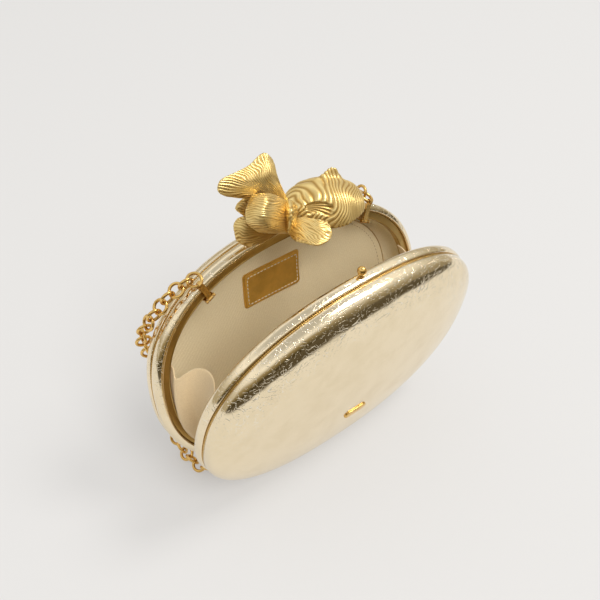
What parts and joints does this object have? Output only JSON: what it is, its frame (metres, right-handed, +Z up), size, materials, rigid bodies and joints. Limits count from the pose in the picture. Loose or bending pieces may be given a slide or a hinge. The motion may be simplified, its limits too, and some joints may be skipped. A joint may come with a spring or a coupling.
{
  "type": "clutch bag",
  "caption": "Oval hard-shell clutch on a bottom hinge, standing open, with a cast goldfish clasp on the rim, fabric gussets and a shoulder chain of round rings.",
  "frame": {"origin": "on the floor, in the middle of the rear shell's foot flat", "axes": "+X along the bag's length, from the fish's tail to its head; +Y from the front shell to the rear shell; +Z up"},
  "size_m": [0.211, 0.1051, 0.1879],
  "materials": {
    "foil_leather": "crinkled champagne-gold foil leather, glossy",
    "brass": "brushed antique gold plating",
    "gold": "polished gold plating",
    "lining": "fine beige twill",
    "gusset": "cream cotton twill",
    "label_leather": "metallic brown-gold leather with cream stitching"
  },
  "bodies": {
    "rear_shell": {"rear_rim_band": "foil_leather", "rear_panel": "foil_leather", "rear_piping": "gold", "rear_mouth_frame": "brass", "rear_lining": "lining", "rear_hinge_leaf": "brass", "back_lining_card": "lining", "label_backing": "label_leather", "label_face": "label_leather", "left_gusset": "gusset", "right_gusset": "gusset", "hinge_pin": "brass", "clasp_base": "brass", "left_clasp_rivet": "brass", "right_clasp_rivet": "brass", "goldfish_casting": "gold", "chain_left_drop": "gold", "chain_floor_run": "gold", "chain_right_drop": "gold", "left_lug_bracket": "gold", "left_lug_tab": "gold", "left_lug_pin": "gold", "right_lug_bracket": "gold", "right_lug_tab": "gold", "right_lug_pin": "gold"},
    "front_shell": {"front_rim_band": "foil_leather", "front_panel": "foil_leather", "front_piping": "gold", "front_mouth_frame": "brass", "front_lining": "lining", "front_hinge_leaf": "brass", "ball_stud": "gold"},
    "left_ring": {"left_end_ring": "gold"},
    "right_ring": {"right_end_ring": "gold"}
  },
  "joints": [
    {"name": "shell_hinge", "type": "hinge", "parent": "rear_shell", "child": "front_shell", "pos_m": [0, -0.01214, 0.00207], "axis": [1, 0, 0], "range_deg": [-23.4, 12], "deforming": ["left_gusset", "right_gusset"]},
    {"name": "left_ring_hinge", "type": "hinge", "parent": "rear_shell", "child": "left_ring", "pos_m": [-0.06609, 0.01453, 0.13281], "axis": [0.9075, 0.0852, 0.4113], "range_deg": [-20, 140], "deforming": ["chain_left_drop"]},
    {"name": "right_ring_hinge", "type": "hinge", "parent": "rear_shell", "child": "right_ring", "pos_m": [0.06609, 0.01453, 0.13281], "axis": [0.9075, -0.0852, -0.4113], "range_deg": [-20, 140], "deforming": ["chain_right_drop"]}
  ]
}
